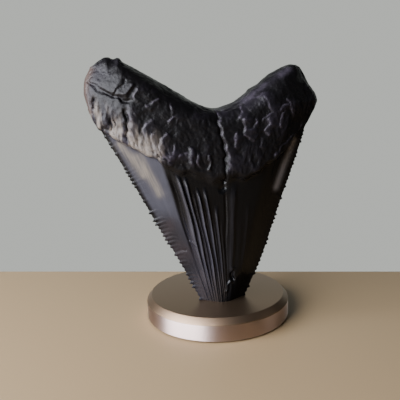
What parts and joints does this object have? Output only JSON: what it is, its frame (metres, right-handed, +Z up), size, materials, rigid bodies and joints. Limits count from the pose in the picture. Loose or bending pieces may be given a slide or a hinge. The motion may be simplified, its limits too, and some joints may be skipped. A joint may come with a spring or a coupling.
{
  "type": "fossil shark tooth on a round metal base",
  "caption": "Large dark fossil shark tooth with a lobed root and serrated blade, standing point-down in a socket of a chamfered round metal base with a foot pad.",
  "frame": {"origin": "centre of the foot pad's underside, on the base disc's axis", "axes": "+Z up along the base disc's axis; +X along the tooth's width; -Y is the way the swollen face of the tooth looks"},
  "size_m": [0.1231, 0.08, 0.143],
  "materials": {
    "fossil_tooth": "near-black mineralised enamel, glossy on the blade and satin on the rough root",
    "base_metal": "lathe-brushed, rose-bronze anodised",
    "foot_pad": "matt"
  },
  "bodies": {
    "root": {"tooth": "fossil_tooth", "base_disc": "base_metal", "foot_pad": "foot_pad"}
  },
  "joints": []
}
